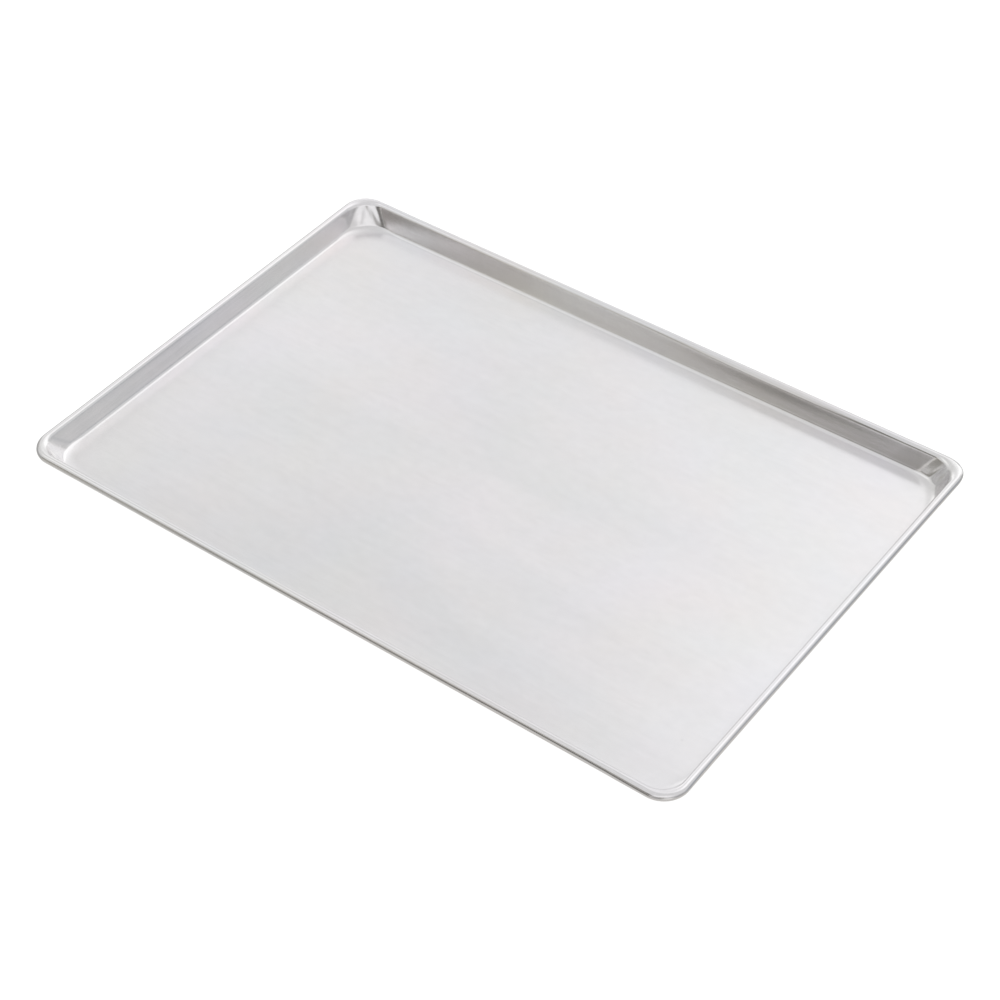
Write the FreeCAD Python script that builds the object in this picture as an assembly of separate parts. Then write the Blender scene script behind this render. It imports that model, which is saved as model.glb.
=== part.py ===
import FreeCAD, Part
import math
import os

# Bakery sheet pan, millimetres, +Z up, origin under the middle of the floor.
# One pressed aluminium sheet: flat floor, leaning walls and a rim rolled over a steel wire.

# Size over the rolled rim
pan_length = 650.0
pan_width = 450.0
pan_height = 22.0

# The sheet and how it is bent up
sheet_thickness = 1.0
wall_lean = 19.0                # degrees from upright, the long walls open outwards
end_wall_lean = 12.0            # the same for the two short walls
floor_bend_radius = 4.0         # inside the bend between floor and wall

# Corners seen from above
rim_corner_radius = 23.0        # outside of the rolled rim
top_corner_radius = 20.0        # inside of the wall where it turns into the roll
foot_corner_radius = 32.0       # inside of the wall where it meets the floor bend
floor_corner_radius = 46.0      # edge of the flat floor

# Upright gathers half way up the wall, where the corners were drawn in
gather_depth = 0.25             # either side of the even corner
gathers_per_corner = 4

# The rim and the wire inside it
wire_diameter = 5.5
wire_clearance = 0.1            # all round the wire
seam_gap = 0.8                  # between the lip of the roll and the steeper walls
wire_joint_gap = 1.0            # between the two ends of the wire

# How finely the floor bend, the turn into the roll and the gathers are shaped
bend_sections = 6
shoulder_sections = 5
points_per_gather = 6

# The roll follows from the wire and the sheet
upright = math.pi / 2
roll_inner_radius = wire_diameter / 2 + wire_clearance
roll_radius = roll_inner_radius + sheet_thickness
rim_height = pan_height - roll_radius
rim_path_radius = rim_corner_radius - roll_radius

# The steeper walls set where the floor bend ends and where the roll starts
side_lean = math.radians(wall_lean)
end_lean = math.radians(end_wall_lean)
steep_lean = min(side_lean, end_lean)
bend_centre_height = sheet_thickness + floor_bend_radius

# Angle round the roll where the wall meets it, counted from straight outwards
wall_angle = math.pi - steep_lean

# How much rounder the wall's top is at the corners than the roll it turns into
shoulder_widening = top_corner_radius - (rim_path_radius - roll_radius * math.cos(steep_lean))


def vector(x, y, z):
    return FreeCAD.Vector(x, y, z)


def corner_edge(centre, radius, quarter, depth):
    # A quarter turn about the centre, plain or with gathers that fade out at both ends.
    steps = gathers_per_corner * points_per_gather if depth else 2
    points = []
    for step in range(steps + 1):
        turn_share = step / steps
        angle = (quarter + turn_share) * upright
        ripple = math.sin(math.pi * turn_share) * math.sin(2 * math.pi * gathers_per_corner * turn_share)
        reach = radius + depth * ripple
        points.append(centre + vector(reach * math.cos(angle), reach * math.sin(angle), 0))
    if not depth:
        return Part.Arc(*points).toShape()
    curve = Part.BSplineCurve()
    curve.interpolate(points)
    return curve.toShape()


def face_inset(height, lean, depth):
    # How far in one face of the sheet lies at a height, on the floor bend, the wall or the roll.
    bend_radius = floor_bend_radius + depth
    turn_radius = roll_radius - depth
    drop = bend_centre_height - height
    rise = height - rim_height
    if drop > bend_radius * math.sin(lean):
        bend_centre = (roll_radius + (roll_radius + floor_bend_radius) / math.cos(lean)
                       + (rim_height - bend_centre_height) * math.tan(lean))
        return bend_centre - math.sqrt(max(bend_radius ** 2 - drop ** 2, 0))
    if rise > turn_radius * math.sin(lean):
        return roll_radius + math.sqrt(max(turn_radius ** 2 - rise ** 2, 0))
    return roll_radius + turn_radius / math.cos(lean) - rise * math.tan(lean)


def contour(height, corner_radius, depth, gather=0):
    # Rounded rectangle that one face of the sheet makes at a height.
    x = pan_length / 2 - face_inset(height, end_lean, depth) - corner_radius
    y = pan_width / 2 - face_inset(height, side_lean, depth) - corner_radius
    centres = [vector(x, y, height), vector(-x, y, height),
               vector(-x, -y, height), vector(x, -y, height)]
    corners = [corner_edge(centre, corner_radius, quarter, gather)
               for quarter, centre in enumerate(centres)]
    edges = []
    for corner, following in zip(corners, corners[1:] + corners[:1]):
        edges.append(corner)
        edges.append(Part.LineSegment(corner.Vertexes[-1].Point, following.Vertexes[0].Point).toShape())
    return Part.Wire(edges)


def shoulder_line(angle, depth):
    # Height and corner radius where the wall turns into the roll, rounder at first than the roll.
    radius = roll_radius - depth
    turn_share = math.cos(angle) / math.cos(wall_angle)
    corner = rim_path_radius + radius * math.cos(angle) + shoulder_widening * turn_share
    return rim_height + radius * math.sin(angle), corner


def bend_line(tilt, depth):
    # The same for the floor bend, whose corners widen from the wall's foot to the floor's edge.
    travel_share = 1 - math.cos(tilt) / math.cos(steep_lean)
    corner = foot_corner_radius + (floor_corner_radius - foot_corner_radius) * travel_share
    return bend_centre_height - (floor_bend_radius + depth) * math.sin(tilt), corner + depth * math.cos(tilt)


def tray_faces(skin):
    # One face of the sheet up to the top of the roll: skin 0 is the inside, skin 1 the outside.
    depth = skin * sheet_thickness
    bend = []
    for section in range(bend_sections):
        tilt = upright + (steep_lean - upright) * section / (bend_sections - 1)
        bend.append(bend_line(tilt, depth))
    shoulder = []
    for section in range(shoulder_sections):
        angle = wall_angle + (upright - wall_angle) * section / (shoulder_sections - 1)
        shoulder.append(shoulder_line(angle, depth))
    half_way = [(low + high) / 2 for low, high in zip(bend[-1], shoulder[0])]
    wall = [contour(*bend[-1], depth), contour(*half_way, depth, gather_depth), contour(*shoulder[0], depth)]
    faces = [Part.Face(contour(*bend[0], depth))]
    faces += Part.makeLoft([contour(*line, depth) for line in bend], False, False).Faces
    faces += Part.makeLoft(wall, False, False).Faces
    faces += Part.makeLoft([contour(*line, depth) for line in shoulder], False, False).Faces
    return faces


def round_the_rim(profile):
    # Carries a profile, drawn about the middle of the roll, once round the rim.
    pieces = []
    for quarter in range(4):
        if quarter % 2 == 0:
            reach = pan_length / 2 - roll_radius
            run = pan_width - 2 * rim_corner_radius
        else:
            reach = pan_width / 2 - roll_radius
            run = pan_length - 2 * rim_corner_radius
        start = profile.translated(vector(reach, -run / 2, rim_height))
        end = profile.translated(vector(reach, run / 2, rim_height))
        corner_axis = vector(reach - rim_path_radius, run / 2, 0)
        straight = start.extrude(vector(0, run, 0))
        corner = end.revolve(corner_axis, vector(0, 0, 1), math.degrees(upright))
        for piece in (straight, corner):
            piece.rotate(vector(0, 0, 0), vector(0, 0, 1), quarter * math.degrees(upright))
            pieces.append(piece)
    return pieces


def on_circle(radius, angle):
    return vector(radius * math.cos(angle), 0, radius * math.sin(angle))


def roll_profile():
    # From its top the sheet turns over the wire and stops short of the wall.
    lip_angle = wall_angle - 2 * math.pi + math.acos((roll_inner_radius - seam_gap) / roll_radius)
    half_way = (upright + lip_angle) / 2
    outer_arc = [on_circle(roll_radius, angle) for angle in (upright, half_way, lip_angle)]
    inner_arc = [on_circle(roll_inner_radius, angle) for angle in (lip_angle, half_way, upright)]
    return Part.Wire([
        Part.Arc(*outer_arc).toShape(),
        Part.LineSegment(outer_arc[-1], inner_arc[0]).toShape(),
        Part.Arc(*inner_arc).toShape(),
    ])


def pan_sheet():
    # Both faces of the sheet and the roll between them, sewn to one closed skin.
    faces = tray_faces(0) + tray_faces(1)
    for piece in round_the_rim(roll_profile()):
        faces += piece.Faces
    skin = Part.makeCompound(faces)
    skin.sewShape()
    return Part.makeSolid(skin.Shells[0])


def rim_wire():
    # One length of wire bent round the rim, its ends butted half way along the back.
    radius = wire_diameter / 2
    section = Part.Circle(vector(0, 0, 0), vector(0, 1, 0), radius).toShape()
    pieces = round_the_rim(Part.Face(Part.Wire([section])))
    loop = pieces[0].multiFuse(pieces[1:])
    slot_corner = vector(-wire_joint_gap / 2, pan_width / 2 - roll_radius - radius, rim_height - radius)
    slot = Part.makeBox(wire_joint_gap, wire_diameter, wire_diameter, slot_corner)
    return loop.cut(slot).removeSplitter()


os.makedirs("parts", exist_ok=True)
pieces = {"pan_sheet": pan_sheet(), "rim_wire": rim_wire()}
for name, shape in pieces.items():
    shape.exportStep("parts/" + name + ".step")
    box = shape.optimalBoundingBox()
    print(name, shape.ShapeType, "solids", len(shape.Solids), "valid", shape.isValid(),
          "faces", len(shape.Faces), "volume", round(shape.Volume, 1),
          "size", round(box.XLength, 3), round(box.YLength, 3), round(box.ZLength, 3),
          "z from", round(box.ZMin, 4))
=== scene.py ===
import bpy
import math
import numpy as np
from mathutils import Matrix, Vector


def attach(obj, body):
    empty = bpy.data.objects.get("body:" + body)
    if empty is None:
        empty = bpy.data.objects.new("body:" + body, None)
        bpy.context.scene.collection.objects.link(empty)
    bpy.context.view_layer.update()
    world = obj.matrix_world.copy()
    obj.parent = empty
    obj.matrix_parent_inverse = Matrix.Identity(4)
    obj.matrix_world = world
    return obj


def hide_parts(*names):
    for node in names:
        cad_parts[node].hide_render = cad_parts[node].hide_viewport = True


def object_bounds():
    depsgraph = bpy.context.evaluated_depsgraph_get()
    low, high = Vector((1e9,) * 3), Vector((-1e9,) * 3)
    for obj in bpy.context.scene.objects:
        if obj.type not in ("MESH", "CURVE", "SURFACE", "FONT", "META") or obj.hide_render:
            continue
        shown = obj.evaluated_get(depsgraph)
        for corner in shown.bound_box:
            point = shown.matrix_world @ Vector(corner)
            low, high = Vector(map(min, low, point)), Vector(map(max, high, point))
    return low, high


# Aluminium sheet pan on a pale studio floor, in metres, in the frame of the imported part.
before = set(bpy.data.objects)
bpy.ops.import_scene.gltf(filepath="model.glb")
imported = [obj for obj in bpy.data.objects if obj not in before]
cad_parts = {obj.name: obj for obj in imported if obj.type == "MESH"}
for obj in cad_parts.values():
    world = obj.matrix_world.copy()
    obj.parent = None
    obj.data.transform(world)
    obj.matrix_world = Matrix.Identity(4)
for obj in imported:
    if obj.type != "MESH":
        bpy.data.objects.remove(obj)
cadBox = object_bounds()
mm = 0.001
panSize = [(high - low) / mm for low, high in zip(*cadBox)]
print("frame loaded, pan size in mm", [round(side, 2) for side in panSize])


class Shade:
    # one output socket of a node tree, so that shader maths reads as plain sums
    def __init__(self, tree, socket=None):
        self.tree = tree
        self.socket = socket

    def node(self, kind, settings=None, inputs=None, out=0):
        made = self.tree.nodes.new("ShaderNode" + kind)
        for name, value in (settings or {}).items():
            setattr(made, name, value)
        for name, value in (inputs or {}).items():
            if isinstance(value, Shade):
                self.tree.links.new(value.socket, made.inputs[name])
            else:
                made.inputs[name].default_value = value
        return Shade(self.tree, made.outputs[out])

    def math(self, operation, *values):
        return self.node("Math", {"operation": operation}, dict(enumerate(values)))

    def __add__(self, other):
        return self.math("ADD", self, other)

    def __sub__(self, other):
        return self.math("SUBTRACT", self, other)

    def __rsub__(self, other):
        return self.math("SUBTRACT", other, self)

    def __mul__(self, other):
        return self.math("MULTIPLY", self, other)

    __radd__ = __add__
    __rmul__ = __mul__

    def axis(self, letter):
        return self.node("SeparateXYZ", inputs={"Vector": self}, out=letter)

    def size(self):
        return self.math("ABSOLUTE", self)

    def vector(self, operation, other, out=0):
        return self.node("VectorMath", {"operation": operation}, {0: self, 1: other}, out)

    def scaled(self, vector, amount):
        return self.node("VectorMath", {"operation": "SCALE"}, {0: vector, "Scale": amount})

    def ramp(self, low, high, start=0.0, end=1.0):
        # soft step of a value, from start below low to end above high
        settings = {"interpolation_type": "SMOOTHSTEP"}
        return self.node("MapRange", settings, {0: self, 1: low, 2: high, 3: start, 4: end})

    def mix(self, first, second):
        # this value as the share of the second colour
        return self.node("Mix", {"data_type": "RGBA"}, {0: self, 6: first, 7: second}, 2)

    def noise(self, place, scale, detail=2.0, roughness=0.5):
        inputs = {"Vector": place, "Scale": scale, "Detail": detail, "Roughness": roughness}
        return self.node("TexNoise", inputs=inputs)


def startMaterial(name):
    material = bpy.data.materials.new(name)
    material.use_nodes = True
    material.node_tree.nodes.clear()
    return material, Shade(material.node_tree)


def finishMaterial(shade, sockets):
    surface = shade.node("BsdfPrincipled", inputs=sockets)
    output = shade.tree.nodes.new("ShaderNodeOutputMaterial")
    shade.tree.links.new(surface.socket, output.inputs["Surface"])


# The pan's shape, lengths in millimetres, corners in the order right, back, left, front
panShape = {
    "sheet": 1.0,
    "leans": (12.0, 19.0),                     # degrees from upright, short walls and long walls
    "bend": 4.0,                               # inside radius between floor and wall
    "roll": 3.85,                              # outside radius of the rolled rim
    "seam": 0.8,                               # between the lip of the roll and the steeper walls
    "rimCorner": 23.0,                         # plan radius of the outermost line
    "footCorner": 32.0,                        # the same where the wall meets the floor bend
    "floorCorner": 46.0,                       # the same at the edge of the flat floor
    "shoulders": (9.0, 9.0, 5.0, 5.0),         # how much rounder the wall's top is than the rim
    "stepDepth": 0.12,                         # the roll is fuller round the corners
    "stepReach": 28.0,                         # how far past a corner, and how soon it slims after that
    "stepLength": 4.0,
    "flatAngle": 6.0,                          # middle of the roll's worn outside, degrees up from level
    "flatWidth": 52.0,                         # degrees to either side of it
    "flatFade": 0.06,                          # share of a side over which the wear starts
    "flats": [
        # side in the order back, left, front, right, share of its length, half width, depth
        (2, 0.20, 0.25, 0.10),
        (2, 0.52, 0.16, 0.24),
        (2, 0.84, 0.17, 0.42),
        (3, 0.14, 0.25, 0.42),
        (3, 0.54, 0.20, 0.20),
        (3, 0.92, 0.25, 0.24),
    ],
    "bulge": 1.4,                              # the right corner's roll stands out a little
    "cornerDents": [
        # corner, share of its turn, level on the wall, half widths of both, slant, depth outwards
        (0, 0.88, 0.50, 0.08, 0.60, 0.00, -0.50),
        (0, 0.70, 0.50, 0.05, 0.60, -0.05, 0.90),
        (0, 0.58, 0.50, 0.05, 0.60, -0.05, -0.70),
        (0, 0.46, 0.50, 0.05, 0.60, -0.05, 0.90),
        (0, 0.33, 0.50, 0.05, 0.60, -0.05, -0.70),
        (1, 0.24, 0.50, 0.07, 0.70, 0.10, -0.50),
        (1, 0.42, 0.60, 0.05, 0.50, 0.05, 0.60),
        (1, 0.56, 0.45, 0.05, 0.50, 0.00, -0.50),
        (1, 0.74, 0.50, 0.06, 0.70, -0.10, 0.50),
        (2, 0.62, 0.45, 0.08, 0.35, 0.05, 1.30),
        (3, 0.30, 0.50, 0.07, 0.60, 0.00, 0.50),
        (3, 0.50, 0.50, 0.06, 0.50, 0.00, -0.50),
        (3, 0.72, 0.50, 0.07, 0.60, 0.00, 0.50),
    ],
    "wallDents": [
        # wall in the order back, left, front, right, share of its length, level on the wall,
        # half widths of both, depth outwards
        (0, 0.26, 0.95, 0.15, 0.30, -0.60),
        (1, 0.10, 0.60, 0.16, 0.50, 0.20),
        (1, 0.60, 0.40, 0.25, 0.70, -0.20),
        (2, 0.35, 0.55, 0.20, 0.60, 0.20),
        (2, 0.75, 0.50, 0.15, 0.60, -0.20),
        (3, 0.45, 0.55, 0.22, 0.60, 0.20),
    ],
    "dentFoot": (-0.4, 0.3),                   # levels between which the dents come in
    "dentTop": (1.0, 1.3),                     # levels between which they fade out
    "cornerDentTop": (0.8, 1.15),              # the same in the corners, where they end lower
    "rollLevels": 8.0,                         # levels from the top of the wall to the lip
    "cornerSteps": 40,                         # columns in a corner and along each side
    "longSteps": 72,
    "shortSteps": 52,
    "crowding": 0.85,                          # how much the columns of a side crowd to its ends
    "bendRows": 13,                            # level lines of the upper face
    "wallRows": 15,
    "rollRows": 49,
    "rollInnerRows": 25,                       # level lines inside the roll and under the sheet
    "underRows": 9,
    "floorMargin": 48.0,                       # between the edge of the floor and its even grid
    "marginRows": 9,
}


def softStep(value, low, high):
    share = np.clip((value - low) / (high - low), 0, 1)
    return share * share * (3 - 2 * share)


def panColumns(shape):
    # every column of the mesh: quarter, share of the corner turned, share of the straight after it
    columns = []
    for quarter in range(4):
        for step in range(shape["cornerSteps"] + 1):
            columns.append((quarter, step / shape["cornerSteps"], 0.0))
        steps = shape["shortSteps"] if quarter % 2 else shape["longSteps"]
        for step in range(1, steps):
            even = step / steps
            crowded = even - shape["crowding"] * math.sin(2 * math.pi * even) / (2 * math.pi)
            columns.append((quarter, 1.0, crowded))
    return np.array(columns)


def rollRadius(shape, columns):
    # the roll is a little slimmer along the straights
    quarter, along = columns[:, 0], columns[:, 2]
    length = np.where(quarter % 2 == 0, panSize[0], panSize[1]) - 2 * shape["rimCorner"]
    away = np.minimum(along, 1 - along) * length
    slim = softStep(away, shape["stepReach"], shape["stepReach"] + shape["stepLength"])
    return shape["roll"] - shape["stepDepth"] * np.where(along > 0, slim, 0)


def rollFlats(shape, columns):
    # how deep the outside of the roll is worn flat
    quarter, along = columns[:, 0], columns[:, 2]
    depth = np.zeros(len(columns))
    for side, share, width, deep in shape["flats"]:
        depth += np.where(quarter == side, deep * np.exp(-((along - share) / width) ** 2), 0)
    return depth * softStep(np.minimum(along, 1 - along), 0, shape["flatFade"])


def levelLine(columns, inset, corners, push):
    # a rounded rectangle seen from above, pushed outwards, one point for each column
    quarter, turned, along = columns.T
    half = np.array(panSize[:2]) / 2

    def cornerPoint(index, share):
        which = index.astype(int) % 4
        sign = np.array([[1, 1], [-1, 1], [-1, -1], [1, -1]])[which]
        corner = np.asarray(corners, float)[which]
        angle = (index + share) * math.pi / 2
        outward = np.stack([np.cos(angle), np.sin(angle)], 1)
        return sign * (half - inset - corner[:, None]) + outward * (corner + push)[:, None]

    start = cornerPoint(quarter, turned)
    end = cornerPoint(quarter + 1, np.zeros(len(quarter)))
    return start + (end - start) * along[:, None]


def sheetDents(shape, columns, level):
    # how far the sheet is pushed outwards at a level:
    # -1 at the floor's edge, 0 at the foot of the wall, 1 at its top
    quarter, turned, along = columns.T
    push = np.zeros(len(columns))
    for corner, turn, middle, width, height, slant, depth in shape["cornerDents"]:
        across = (turned - turn - slant * (level - middle)) / width
        hit = (quarter == corner) & (along == 0)
        reach = math.exp(-((level - middle) / height) ** 2)
        push += np.where(hit, depth * np.exp(-across ** 2), 0) * reach
    push *= np.sqrt(np.sin(math.pi * turned)) * (1 - softStep(level, *shape["cornerDentTop"]))
    fade = np.sqrt(np.sin(math.pi * along))
    for wall, share, middle, width, height, depth in shape["wallDents"]:
        across = (along - share) / width
        hit = (quarter == wall) & (along > 0)
        reach = math.exp(-((level - middle) / height) ** 2)
        push += np.where(hit, depth * np.exp(-across ** 2) * fade, 0) * reach
    return push * softStep(level, *shape["dentFoot"]) * (1 - softStep(level, *shape["dentTop"]))


def panRows(shape, columns):
    # level lines from the edge of the floor up the wall, round the roll and back underneath:
    # inset from the rim and height for short and long walls, plan radii of the corners, level, bulge
    lean = np.radians(shape["leans"])
    sheet, bend, roll = shape["sheet"], shape["bend"], shape["roll"]
    rimHeight = panSize[2] - roll
    bendHeight = sheet + bend
    footHeight = bendHeight - bend * np.sin(lean)
    foot = roll + roll / np.cos(lean) + (rimHeight - footHeight) * np.tan(lean)
    bendInset = foot + bend * np.cos(lean)
    shoulders = np.array(shape["shoulders"])
    rims, feet, floors = (np.full(len(shoulders), shape[name])
                          for name in ("rimCorner", "footCorner", "floorCorner"))
    outer = rollRadius(shape, columns)[:, None]
    worn = rollFlats(shape, columns)[:, None]
    inner = roll - sheet
    rows = []

    def bendRow(share, skin):
        # share 0 at the floor's edge, 1 at the foot of the wall
        tilt = math.pi / 2 + (lean - math.pi / 2) * share
        travel = np.mean(np.cos(tilt) / np.cos(lean))
        rows.append((bendInset - (bend + skin) * np.cos(tilt), bendHeight - (bend + skin) * np.sin(tilt),
                     floors + (feet - floors) * travel + skin * np.mean(np.cos(tilt)), travel - 1, 0))

    def wallRow(share, skin, radius):
        # share 0 at the foot, 1 where the wall meets the roll
        top = roll + radius * np.cos(lean), rimHeight + radius * np.sin(lean)
        bottom = foot - skin * np.cos(lean), footHeight - skin * np.sin(lean)
        inward = np.mean(np.cos(lean))
        low = feet + skin * inward
        high = rims - roll + (shoulders + skin - roll) * inward
        rows.append((bottom[0] + (top[0] - bottom[0]) * share, bottom[1] + (top[1] - bottom[1]) * share,
                     low + (high - low) * share, share, 0))

    def rollRow(share, radius, flat=0.0):
        # share 0 at the wall, 1 at the lip
        # the wall side is rounder in plan, which widens the corners' shoulder
        angle = wallAngle + (lipAngle - wallAngle) * share
        inward = max(0.0, -np.mean(np.cos(angle)))
        off = (angle - math.radians(shape["flatAngle"])) / math.radians(shape["flatWidth"])
        radius = radius - flat * np.cos(np.clip(off, -1, 1) * math.pi / 2) ** 2
        rows.append((roll - radius * np.cos(angle), rimHeight + radius * np.sin(angle),
                     rims - roll + roll * np.mean(np.cos(angle)) + shoulders * inward,
                     1 + share * shape["rollLevels"], max(0.0, np.mean(np.cos(angle)))))

    wallAngle = math.pi - lean
    lipAngle = wallAngle.max() - 2 * math.pi + math.acos((roll - sheet - shape["seam"]) / roll)
    for share in np.linspace(0, 1, shape["bendRows"]):
        bendRow(share, 0)
    for share in np.linspace(0, 1, shape["wallRows"])[1:-1]:
        wallRow(share, 0, outer)
    for share in np.linspace(0, 1, shape["rollRows"]):
        rollRow(share, outer, worn)
    rollRow(1, outer - sheet / 2)
    for share in np.linspace(1, 0, shape["rollInnerRows"]):
        rollRow(share, inner)
    for share in np.linspace(1, 0, shape["underRows"])[1:-1]:
        wallRow(share, sheet, inner)
    for share in np.linspace(1, 0, shape["underRows"]):
        bendRow(share, sheet)
    return rows


def evenRectangle(columns, inset):
    # the same columns spread evenly over a plain rectangle, where the floor's grid starts
    half = np.array(panSize[:2]) / 2 - inset
    corners = half * np.array([[1, 1], [-1, 1], [-1, -1], [1, -1]])
    points = np.zeros((len(columns), 2))
    starts = cornerMiddles(columns)
    for quarter in range(4):
        span = (starts[(quarter + 1) % 4] - starts[quarter]) % len(columns)
        for step in range(span):
            points[(starts[quarter] + step) % len(columns)] = (
                corners[quarter] + (corners[(quarter + 1) % 4] - corners[quarter]) * step / span)
    return points


def cornerMiddles(columns):
    # the column in the middle of each corner
    middle = columns[:, 1] == 0.5
    return [int(np.flatnonzero((columns[:, 0] == quarter) & middle)[0]) for quarter in range(4)]


def floorGrid(columns, ring, height, vertices, faces, upward):
    # fills the rectangle inside a ring of vertices with a grid, row by row
    starts = cornerMiddles(columns)
    total = len(columns)

    def side(first, second):
        span = (starts[second] - starts[first]) % total
        return [ring + (starts[first] + step) % total for step in range(span + 1)]

    bottom = side(2, 3)
    right = side(3, 0)
    top = side(0, 1)[::-1]
    left = side(1, 2)[::-1]
    grid = [bottom]
    for row in range(1, len(left) - 1):
        y = vertices[left[row]][1]
        line = [left[row]]
        for column in range(1, len(bottom) - 1):
            line.append(len(vertices))
            vertices.append((vertices[bottom[column]][0], y, height))
        line.append(right[row])
        grid.append(line)
    grid.append(top)
    for lower, upper in zip(grid, grid[1:]):
        for step in range(len(lower) - 1):
            face = (lower[step], lower[step + 1], upper[step + 1], upper[step])
            faces.append(face if upward else face[::-1])


def buildPan(shape):
    columns = panColumns(shape)
    rows = panRows(shape, columns)
    quarter, turned, along = columns.T
    swell = shape["bulge"] * np.sin(math.pi * turned) ** 2 * (quarter == 0) * (along == 0)
    longShare = np.sin((quarter + turned) * math.pi / 2) ** 2
    total = len(columns)
    vertices = []
    faces = []

    def addRing(points, heights):
        # round a corner the height goes over from one wall to the next
        heights = np.broadcast_to(heights, (total, 2))
        level = heights[:, 0] + (heights[:, 1] - heights[:, 0]) * longShare
        vertices.extend((x, y, z) for (x, y), z in zip(points, level))

    def rowLine(row):
        inset, _, corners, level, bulge = row
        return levelLine(columns, inset, corners, sheetDents(shape, columns, level) + swell * bulge)

    edge = rowLine(rows[0])
    under = rowLine(rows[-1])
    middle = evenRectangle(columns, rows[0][0] + shape["floorMargin"])
    blends = np.linspace(1, 0, shape["marginRows"])
    for blend in blends[:-1]:
        addRing(edge + (middle - edge) * blend, rows[0][1])
    for row in rows:
        addRing(rowLine(row), row[1])
    for blend in blends[::-1][1:]:
        addRing(under + (middle - under) * blend, rows[-1][1])
    rings = len(vertices) // total
    for ring in range(rings - 1):
        for column in range(total):
            following = (column + 1) % total
            faces.append((ring * total + column, (ring + 1) * total + column,
                          (ring + 1) * total + following, ring * total + following))
    floorGrid(columns, 0, shape["sheet"], vertices, faces, True)
    floorGrid(columns, (rings - 1) * total, 0.0, vertices, faces, False)
    mesh = bpy.data.meshes.new("panSheet")
    mesh.from_pydata([Vector(point) * mm for point in vertices], [], faces)
    mesh.validate()
    mesh.shade_smooth()
    pan = bpy.data.objects.new("panSheet", mesh)
    bpy.context.scene.collection.objects.link(pan)
    print("pan sheet built,", len(mesh.polygons), "faces")
    return pan


# Look of the sheet, lengths in millimetres
metal = {
    "colour": (0.867, 0.856, 0.863),
    "wallStart": (1.2, 4.0),                   # heights between which the floor turns into the wall
    "endWall": (303.0, 309.0),                 # distances from the middle, short walls and long walls
    "sideWall": (200.0, 206.0),
    # patterns: how fine along x, y and z for each metre, detail, roughness
    "clouds": ((4, 9, 9), 3.0, 0.5),
    "reds": ((7, 10, 10), 3.0, 0.5),
    "blues": ((9, 7, 12), 2.0, 0.5),
    "drift": ((9, 40, 40), 3.0, 0.5),
    "mottle": ((75, 100, 100), 5.0, 0.7),
    "grainLong": ((6, 330, 330), 4.0, 0.6),
    "grainShort": ((330, 6, 330), 4.0, 0.6),
    "redTint": 0.085,                          # faint clouds of colour
    "redShift": (1, 0, -0.35),
    "blueTint": 0.08,
    "blueShift": (0, 0, 1),
    "cloudTone": 0.11,
    "driftTone": 0.045,                        # soft bands along the pan
    "mottleTone": 0.085,
    "grainTone": 0.042,                        # fine streaks along the pan, stronger on the walls
    "wallGrainTone": 0.14,
    "roughness": (0.18, 0.24),                 # between thin and thick clouds
    "roughClouds": (0.3, 0.7),
    "grainRoughness": 0.06,
    "wallRoughness": -0.03,
    "cornerRoughness": 0.04,
    "grainHeight": 0.012,
    "scratchCore": 0.3,                        # share of a mark's width that has its full tone
    "speckCore": 0.4,
    "scratches": [
        # ends on the floor, half width, tone
        ((281, -137), (279, -147), 0.5, 0.05),
        ((-94, 83), (-58, 82.6), 0.35, -0.03),
        ((16, -76.7), (50, -74.7), 0.35, -0.03),
        ((178.6, -138), (178.4, -150), 0.4, 0.03),
        ((214, -93.8), (218.6, -93.6), 0.6, -0.08),
    ],
    "specks": [
        # place on the floor, radius, tone
        ((286.9, -152.1), 0.8, -0.2),
    ],
}


def panAluminium(metal):
    material, shade = startMaterial("panAluminium")
    place = shade.node("TexCoord", out="Object")
    x, y, z = place.axis("X"), place.axis("Y"), place.axis("Z")

    def between(value, name):
        # soft step between two lengths of the settings
        low, high = metal[name]
        return value.ramp(low * mm, high * mm)

    def pattern(name):
        fineness, detail, roughness = metal[name]
        return shade.noise(place.vector("MULTIPLY", fineness), 1.0, detail, roughness)

    wall = between(z, "wallStart")
    endWall = between(x.size(), "endWall")
    corner = endWall * between(y.size(), "sideWall") * wall
    clouds, reds, blues = pattern("clouds"), pattern("reds"), pattern("blues")
    drift, mottle = pattern("drift"), pattern("mottle")
    grainLong, grainShort = pattern("grainLong"), pattern("grainShort")
    grain = grainLong + (grainShort - grainLong) * endWall
    tone = 1 + (clouds - 0.5) * metal["cloudTone"] + (mottle - 0.5) * metal["mottleTone"]
    tone = tone + (drift - 0.5) * metal["driftTone"]
    grainTone = metal["grainTone"] + wall * (metal["wallGrainTone"] - metal["grainTone"])
    tone = tone + (grain - 0.5) * grainTone
    for start, end, width, strength in metal["scratches"]:
        tone = tone + strokeMask(place, start, end, width, metal["scratchCore"]) * strength
    for spot, radius, strength in metal["specks"]:
        away = place.vector("DISTANCE", floorPoint(spot), "Value")
        tone = tone + away.ramp(radius * mm, radius * mm * metal["speckCore"]) * strength
    redder = shade.scaled(metal["redShift"], (reds - 0.5) * metal["redTint"])
    bluer = shade.scaled(metal["blueShift"], (blues - 0.5) * metal["blueTint"])
    colour = redder.vector("ADD", bluer).vector("ADD", (1, 1, 1)).vector("MULTIPLY", metal["colour"])
    colour = shade.scaled(colour, tone)
    rough = clouds.ramp(*metal["roughClouds"], *metal["roughness"])
    rough = rough + (grain - 0.5) * metal["grainRoughness"]
    rough = rough + wall * metal["wallRoughness"] + corner * metal["cornerRoughness"]
    relief = shade.node("Bump", inputs={
        "Height": grain,
        "Distance": metal["grainHeight"] * mm,
        "Strength": 1.0,
    })
    finishMaterial(shade, {"Base Color": colour, "Metallic": 1.0, "Roughness": rough, "Normal": relief})
    return material


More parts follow.
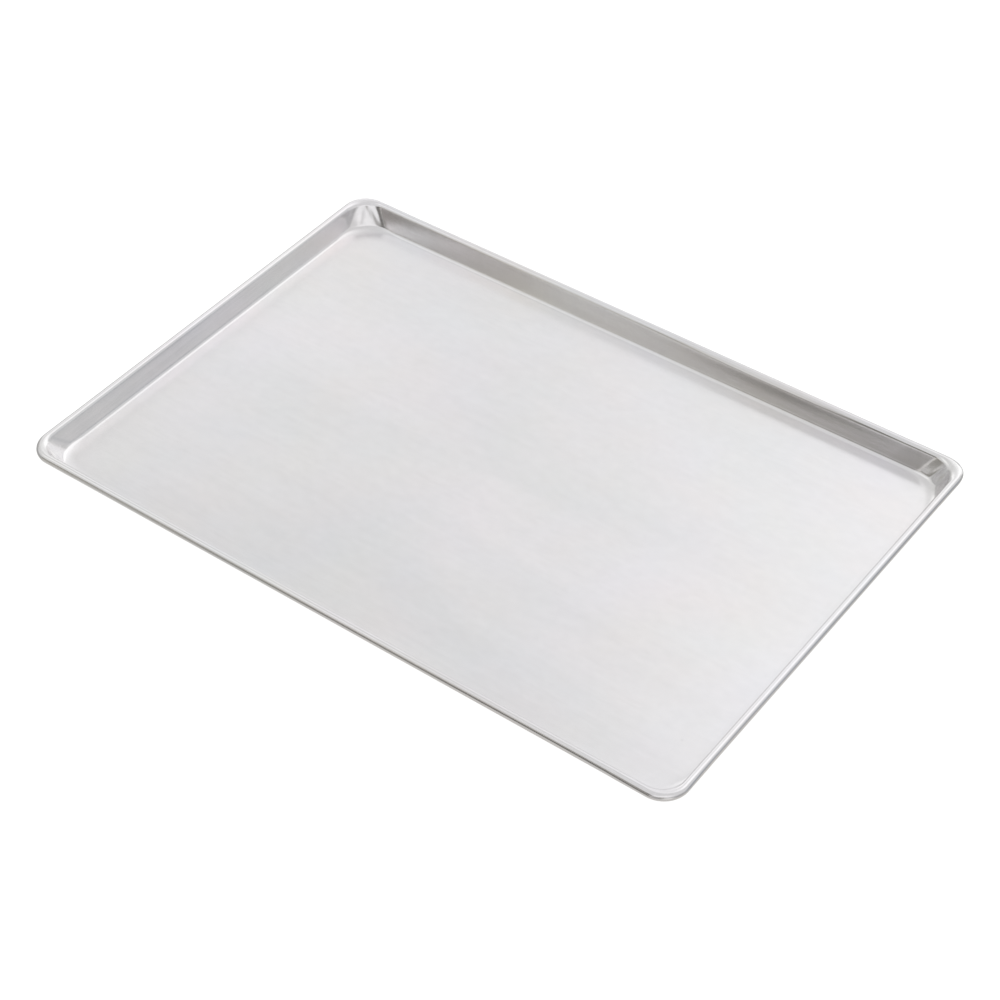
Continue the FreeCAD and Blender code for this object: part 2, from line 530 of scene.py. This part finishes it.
def floorPoint(spot):
    # a place on the upper face of the floor
    return Vector((*spot, panShape["sheet"])) * mm


def strokeMask(place, start, end, width, core):
    # 1 on a straight scratch on the floor
    first = floorPoint(start)
    along = floorPoint(end) - first
    offset = place.vector("SUBTRACT", first)
    share = offset.vector("DOT_PRODUCT", along / along.length_squared, "Value").ramp(0, 1)
    nearest = offset.scaled(tuple(along), share)
    away = offset.vector("DISTANCE", nearest, "Value")
    return away.ramp(width * mm, width * mm * core)


# Look of the wire
galvanised = {
    "spangleScale": 300.0,
    "spangleDetail": 3.0,
    "dark": (0.55, 0.56, 0.58, 1),
    "light": (0.68, 0.69, 0.71, 1),
    "spangleSpan": (0.3, 0.7),
    "roughness": (0.35, 0.5),
}


def rimSteel(galvanised):
    material, shade = startMaterial("rimSteel")
    place = shade.node("TexCoord", out="Object")
    spangle = shade.noise(place, galvanised["spangleScale"], galvanised["spangleDetail"])
    finishMaterial(shade, {
        "Base Color": spangle.mix(galvanised["dark"], galvanised["light"]),
        "Metallic": 1.0,
        "Roughness": spangle.ramp(*galvanised["spangleSpan"], *galvanised["roughness"]),
    })
    return material


pan = buildPan(panShape)
pan.data.materials.append(panAluminium(metal))
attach(pan, "root")
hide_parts("pan_sheet")

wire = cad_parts["rim_wire"]
wire.data.materials.clear()
wire.data.materials.append(rimSteel(galvanised))
print("materials set")

# Studio: floor, world light and camera
studio = {
    "floorSize": 40.0,                         # metres
    "floorDrop": 0.0003,                       # just under the pan
    "floorRoughness": 0.8,
    "floorColour": (0.17, 0.17, 0.17, 1),
    "floorGlow": 5.6,                          # keeps the backdrop white
    "below": (0.62, 0.605, 0.58, 1),           # what the metal mirrors in place of the floor
    "horizon": (0.38, 0.38, 0.38, 1),
    "sky": (0.71, 0.71, 0.71, 1),
    "skyRise": (0.0, 0.36),                    # heights between which the light comes up
    "belowFade": (-0.65, -0.3),                # and between which it gives way to what is below
    "cards": [
        # azimuth, elevation, inner and outer angle in degrees, colour
        (123, 19, 20, 33, (0.87, 0.87, 0.875, 1)),
        (86, 49, 0, 30, (1.14, 1.14, 1.15, 1)),
        (88, 26, 6, 19, (1.30, 1.30, 1.30, 1)),
        (80, 5, 8, 17, (1.15, 1.15, 1.16, 1)),
        (140, 26, 4, 14, (1.12, 1.12, 1.12, 1)),
        (147, 3, 4, 16, (0.58, 0.58, 0.58, 1)),
        (36, 20, 12, 34, (0.70, 0.708, 0.716, 1)),
        (37, -6, 7, 22, (0.36, 0.38, 0.405, 1)),
        (-115, 4, 7, 36, (0.85, 0.821, 0.761, 1)),
        (-131, 9, 8.5, 17, (0.28, 0.271, 0.250, 1)),
        (-60, 8, 9, 25, (0.32, 0.309, 0.288, 1)),
        (-38, -16, 8, 24, (0.85, 0.845, 0.83, 1)),
        (-110, -14, 7, 20, (0.10, 0.097, 0.09, 1)),
        (-102, 17, 5, 19, (0.11, 0.106, 0.098, 1)),
        (-168, 54, 5, 17, (1.0, 1.0, 0.99, 1)),
        (168, 18, 5, 14, (0.48, 0.475, 0.465, 1)),
        (-75, 30, 6, 20, (0.95, 0.95, 0.95, 1)),
        (-43, 36, 8, 28, (0.95, 0.95, 0.95, 1)),
    ],
}


def buildFloor(studio):
    side = studio["floorSize"] / 2
    drop = -studio["floorDrop"]
    corners = [(-side, -side, drop), (side, -side, drop), (side, side, drop), (-side, side, drop)]
    mesh = bpy.data.meshes.new("studioFloor")
    mesh.from_pydata(corners, [], [(0, 1, 2, 3)])
    floor = bpy.data.objects.new("studioFloor", mesh)
    bpy.context.scene.collection.objects.link(floor)
    material, shade = startMaterial("studioFloor")
    finishMaterial(shade, {
        "Base Color": studio["floorColour"],
        "Roughness": studio["floorRoughness"],
        "Emission Color": studio["floorColour"],
        "Emission Strength": studio["floorGlow"],
    })
    mesh.materials.append(material)
    floor.visible_glossy = False


def buildWorld(studio):
    world = bpy.data.worlds.new("studioWorld")
    bpy.context.scene.world = world
    world.use_nodes = True
    world.node_tree.nodes.clear()
    shade = Shade(world.node_tree)
    towards = shade.node("TexCoord", out="Generated")
    height = towards.axis("Z")
    light = height.ramp(*studio["skyRise"]).mix(studio["horizon"], studio["sky"])
    for azimuth, elevation, inner, outer, colour in studio["cards"]:
        around, up = math.radians(azimuth), math.radians(elevation)
        aim = (math.cos(around) * math.cos(up), math.sin(around) * math.cos(up), math.sin(up))
        facing = towards.vector("DOT_PRODUCT", aim, "Value")
        cover = facing.ramp(math.cos(math.radians(outer)), math.cos(math.radians(inner)))
        light = cover.mix(light, colour)
    light = height.ramp(*studio["belowFade"]).mix(studio["below"], light)
    background = shade.node("Background", inputs={"Color": light, "Strength": 1.0})
    output = world.node_tree.nodes.new("ShaderNodeOutputWorld")
    world.node_tree.links.new(background.socket, output.inputs["Surface"])


# Camera at the photograph's angle, lengths in metres
view = {
    "azimuth": 37.582,                         # degrees
    "elevation": 43.342,
    "roll": -0.844,
    "distance": 1.9422,
    "target": (0.01265, -0.05151, 0.01815),
    "lens": 85.33,                             # millimetres
    "shift": 0.03,
}


def buildCamera(view):
    around, up, roll = (math.radians(view[name]) for name in ("azimuth", "elevation", "roll"))
    back = Vector((math.sin(around) * math.cos(up), -math.cos(around) * math.cos(up), math.sin(up)))
    data = bpy.data.cameras.new("camera")
    data.lens = view["lens"]
    data.shift_x = view["shift"]
    camera = bpy.data.objects.new("camera", data)
    camera.matrix_world = (Matrix.Translation(Vector(view["target"]) + back * view["distance"])
                           @ back.to_track_quat("Z", "Y").to_matrix().to_4x4()
                           @ Matrix.Rotation(roll, 4, "Z"))
    bpy.context.scene.collection.objects.link(camera)
    bpy.context.scene.camera = camera


buildFloor(studio)
buildWorld(studio)
buildCamera(view)
bpy.context.scene.view_settings.view_transform = "Standard"
print("studio built")
